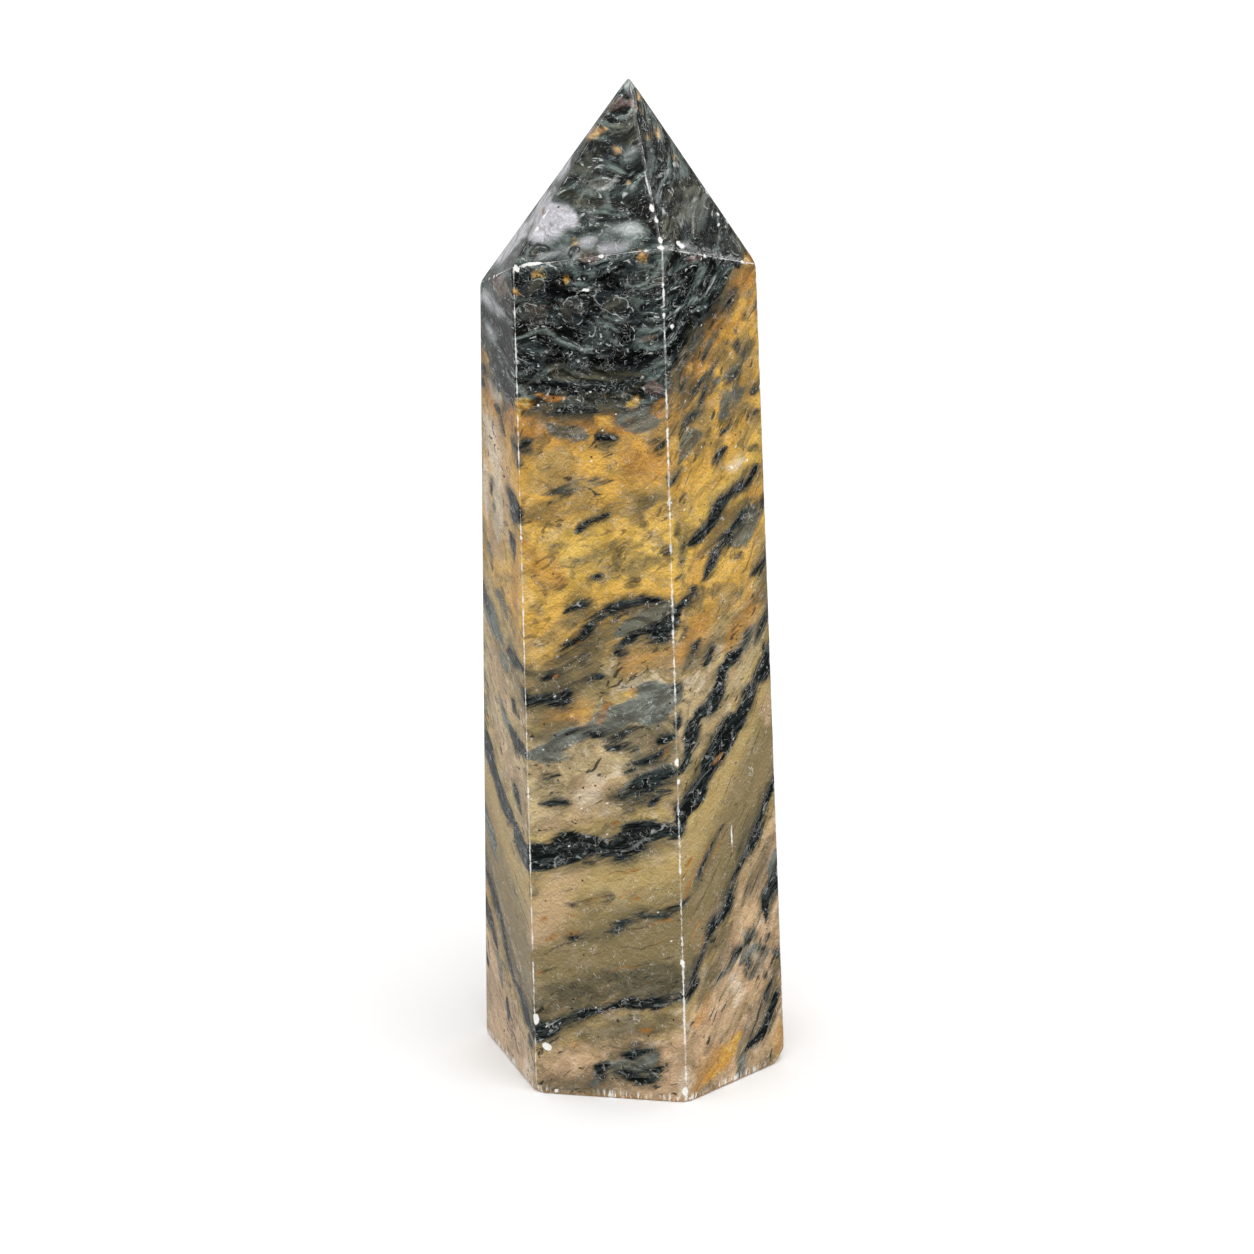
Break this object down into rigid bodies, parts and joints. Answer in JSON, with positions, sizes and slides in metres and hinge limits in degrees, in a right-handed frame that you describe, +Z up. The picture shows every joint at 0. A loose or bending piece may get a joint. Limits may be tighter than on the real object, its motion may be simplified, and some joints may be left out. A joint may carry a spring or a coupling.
{
  "type": "jasper tower",
  "caption": "Hexagonal polished jasper tower: long flats that lean in a little, a faceted pyramid tip, small edge chips, and a flat base that it stands on.",
  "frame": {"origin": "middle of the box round the tower, in the plane of the base that it stands on", "axes": "+Z up along the tower to its tip; the front flat faces -Y; +X to the right of someone who looks at the front flat"},
  "size_m": [0.0308, 0.0268, 0.0997],
  "materials": {
    "jasper": "polished"
  },
  "bodies": {
    "root": {"jasper_tower": "jasper"}
  },
  "joints": []
}
